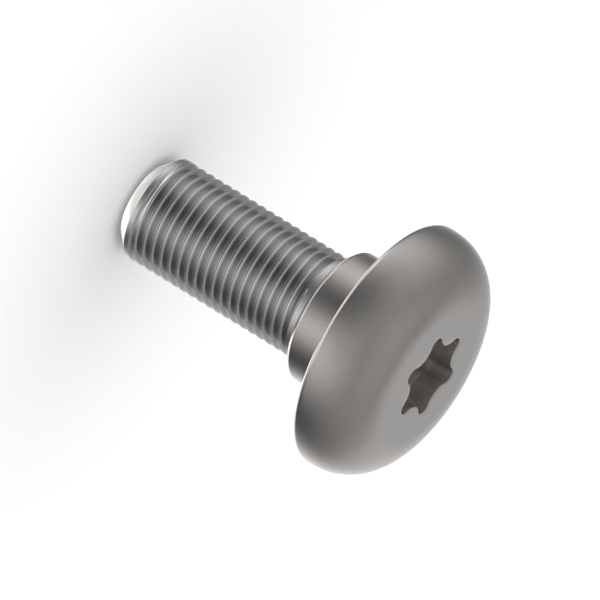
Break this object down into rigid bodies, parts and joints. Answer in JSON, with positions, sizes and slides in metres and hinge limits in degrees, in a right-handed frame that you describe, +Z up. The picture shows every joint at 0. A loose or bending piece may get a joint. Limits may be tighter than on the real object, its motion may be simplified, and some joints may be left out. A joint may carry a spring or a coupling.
{
  "type": "hexalobular dome-head screw with collar",
  "caption": "Short dome-head screw with a hexalobular drive socket, a plain collar under the wide head and a fine metric thread down to a chamfered tip.",
  "frame": {"origin": "centre of the bearing face under the head, where the collar's wall meets it", "axes": "+Z runs up the screw's axis from the tip towards the driving face; the screw stands upright on the flat end of its tip; one lobe of the socket points along +X"},
  "size_m": [0.019, 0.019, 0.0249],
  "materials": {
    "steel": "satin plain steel"
  },
  "bodies": {
    "root": {"screw": "steel"}
  },
  "joints": []
}
